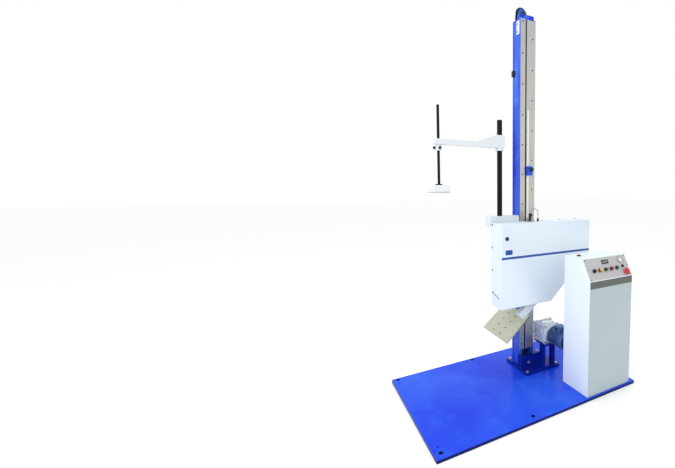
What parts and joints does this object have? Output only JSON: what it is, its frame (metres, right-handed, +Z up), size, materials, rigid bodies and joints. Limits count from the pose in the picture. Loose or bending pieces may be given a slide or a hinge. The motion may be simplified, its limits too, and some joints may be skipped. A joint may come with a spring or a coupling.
{
  "type": "package drop tester",
  "caption": "Column drop tester: a chain-lifted carriage holds a swing-away leaf and a press pad on a post over a base plate, with a push-button console.",
  "frame": {"origin": "middle of the base plate's underside, which is also the bottom centre of the whole object", "axes": "+X along the base plate towards the console, +Y to the rear, +Z up the column"},
  "size_m": [1.7, 1.056, 3.0849],
  "materials": {
    "blue_paint": "gloss enamel",
    "white_paint": "powder coat",
    "brushed_steel": "brushed",
    "zinc_steel": "zinc plated",
    "machined_alloy": "as cast and machined",
    "leaf_alloy": "brushed, clear anodised",
    "dark_chrome": "hard chrome",
    "chain_steel": "oiled",
    "motor_paint": "gloss enamel",
    "panel_alloy": "brushed and anodised",
    "grey_trim": "satin",
    "black_plastic": "moulded",
    "red_plastic": "gloss",
    "yellow_plastic": "gloss",
    "green_plastic": "gloss",
    "pad_plastic": "satin",
    "rubber": "matt"
  },
  "bodies": {
    "frame": {"base_plate": "blue_paint", "column_foot": "blue_paint", "frame_bolts": "zinc_steel", "column": "blue_paint", "column_covers": "brushed_steel", "cover_screws": "zinc_steel", "height_scale": "machined_alloy", "guide_rails": "zinc_steel", "wheel_bracket": "blue_paint", "chain_guard": "white_paint", "upper_limit_switch": "black_plastic", "shaft_bearings": "zinc_steel", "lift_chain": "chain_steel", "drive_chain": "chain_steel", "motor_stand": "blue_paint", "gearhead": "machined_alloy", "motor_body": "motor_paint", "console_cabinet": "white_paint", "console_rear_panel": "white_paint", "console_strip": "grey_trim", "panel_plate": "panel_alloy", "console_screws": "zinc_steel", "drive_controls": "black_plastic", "button_bezels": "zinc_steel", "panel_instruments": "black_plastic"},
    "carriage": {"front_cover": "white_paint", "pivot_cap": "black_plastic", "cover_bolts": "zinc_steel", "carriage_plate": "white_paint", "swing_cylinder": "machined_alloy", "truck": "machined_alloy", "guide_blocks": "zinc_steel", "post_block": "white_paint", "post": "dark_chrome", "cable_fittings": "black_plastic", "cable_loop": "rubber"},
    "swing": {"swing_arm": "white_paint", "drop_leaf": "leaf_alloy"},
    "piston": {"cylinder_rod": "zinc_steel"},
    "ring": {"arm_ring": "white_paint"},
    "arm": {"support_arm": "white_paint"},
    "thumb_side": {"thumb_screw_side": "black_plastic"},
    "thumb_front": {"thumb_screw_front": "black_plastic"},
    "press": {"press_rod": "dark_chrome", "press_pad": "pad_plastic", "pad_facing": "rubber"},
    "stop": {"height_stop": "blue_paint"},
    "knob": {"stop_knob": "black_plastic"},
    "top_wheel": {"top_wheel": "chain_steel"},
    "lower_shaft": {"lower_shaft": "chain_steel"},
    "motor_wheel": {"motor_wheel": "chain_steel"},
    "button_black": {"black_button": "black_plastic"},
    "button_yellow": {"yellow_button": "yellow_plastic"},
    "button_green": {"green_button": "green_plastic"},
    "button_red": {"red_button": "red_plastic"},
    "button_start": {"start_button": "green_plastic"},
    "emergency": {"emergency_stop": "red_plastic"},
    "selector": {"selector_switch": "black_plastic"}
  },
  "joints": [
    {"name": "carriage_lift", "type": "slide", "parent": "frame", "child": "carriage", "axis": [0, 0, 1], "range_m": [-0.19, 1.5]},
    {"name": "leaf_swing", "type": "hinge", "parent": "carriage", "child": "swing", "pos_m": [-0.081, 0.0175, 1.207], "axis": [0, 1, 0], "range_deg": [0, 39]},
    {"name": "piston_stroke", "type": "slide", "parent": "carriage", "child": "piston", "axis": [1, 0, 0], "range_m": [0, 0.04968]},
    {"name": "arm_height", "type": "slide", "parent": "carriage", "child": "ring", "axis": [0, 0, 1], "range_m": [-0.45, 0.1]},
    {"name": "arm_swivel", "type": "hinge", "parent": "ring", "child": "arm", "pos_m": [-0.025, 0.1725, 1.918], "axis": [0, 0, 1], "range_deg": [-90, 90]},
    {"name": "thumb_side_turn", "type": "hinge", "parent": "arm", "child": "thumb_side", "pos_m": [-0.554, 0.1725, 1.8913], "axis": [-1, 0, 0], "range_deg": [-180, 180]},
    {"name": "thumb_front_turn", "type": "hinge", "parent": "arm", "child": "thumb_front", "pos_m": [-0.544, 0.1625, 1.8913], "axis": [0, -1, 0], "range_deg": [-180, 180]},
    {"name": "press_height", "type": "slide", "parent": "arm", "child": "press", "axis": [0, 0, 1], "range_m": [-0.24, 0.24]},
    {"name": "stop_height", "type": "slide", "parent": "frame", "child": "stop", "axis": [0, 0, 1], "range_m": [-0.34, 0.44]},
    {"name": "stop_knob_turn", "type": "hinge", "parent": "stop", "child": "knob", "pos_m": [0.247, 0.1132, 1.753], "axis": [0, -1, 0], "range_deg": [-180, 180]},
    {"name": "top_wheel_turn", "type": "hinge", "parent": "frame", "child": "top_wheel", "pos_m": [0.218, 0.2345, 3.033], "axis": [0, 1, 0], "range_deg": [-239, 1871]},
    {"name": "lower_shaft_turn", "type": "hinge", "parent": "frame", "child": "lower_shaft", "pos_m": [0.218, 0.2345, 0.335], "axis": [0, 1, 0], "range_deg": [-239, 1871]},
    {"name": "motor_wheel_turn", "type": "hinge", "parent": "frame", "child": "motor_wheel", "pos_m": [0.4, 0.2115, 0.335], "axis": [0, 1, 0], "range_deg": [-239, 1871]},
    {"name": "black_button_press", "type": "slide", "parent": "frame", "child": "button_black", "axis": [0, 0.8686, -0.4955], "range_m": [0, 0.004], "stiffness_N_per_m": 300},
    {"name": "yellow_button_press", "type": "slide", "parent": "frame", "child": "button_yellow", "axis": [0, 0.8686, -0.4955], "range_m": [0, 0.004], "stiffness_N_per_m": 300},
    {"name": "green_button_press", "type": "slide", "parent": "frame", "child": "button_green", "axis": [0, 0.8686, -0.4955], "range_m": [0, 0.004], "stiffness_N_per_m": 300},
    {"name": "red_button_press", "type": "slide", "parent": "frame", "child": "button_red", "axis": [0, 0.8686, -0.4955], "range_m": [0, 0.004], "stiffness_N_per_m": 300},
    {"name": "start_button_press", "type": "slide", "parent": "frame", "child": "button_start", "axis": [0, 0.8686, -0.4955], "range_m": [0, 0.004], "stiffness_N_per_m": 300},
    {"name": "emergency_press", "type": "slide", "parent": "frame", "child": "emergency", "axis": [0, 0.8686, -0.4955], "range_m": [0, 0.004]},
    {"name": "selector_turn", "type": "hinge", "parent": "frame", "child": "selector", "pos_m": [0.721, -0.47923, 0.98844], "axis": [0, -0.8686, 0.4955], "range_deg": [-45, 45]}
  ],
  "couplings": [
    {"joint": "piston_stroke", "follows": "leaf_swing", "m_per_rad": 0.072834},
    {"joint": "top_wheel_turn", "follows": "carriage_lift", "rad_per_m": 21.739},
    {"joint": "lower_shaft_turn", "follows": "carriage_lift", "rad_per_m": 21.739},
    {"joint": "motor_wheel_turn", "follows": "carriage_lift", "rad_per_m": 21.739}
  ]
}
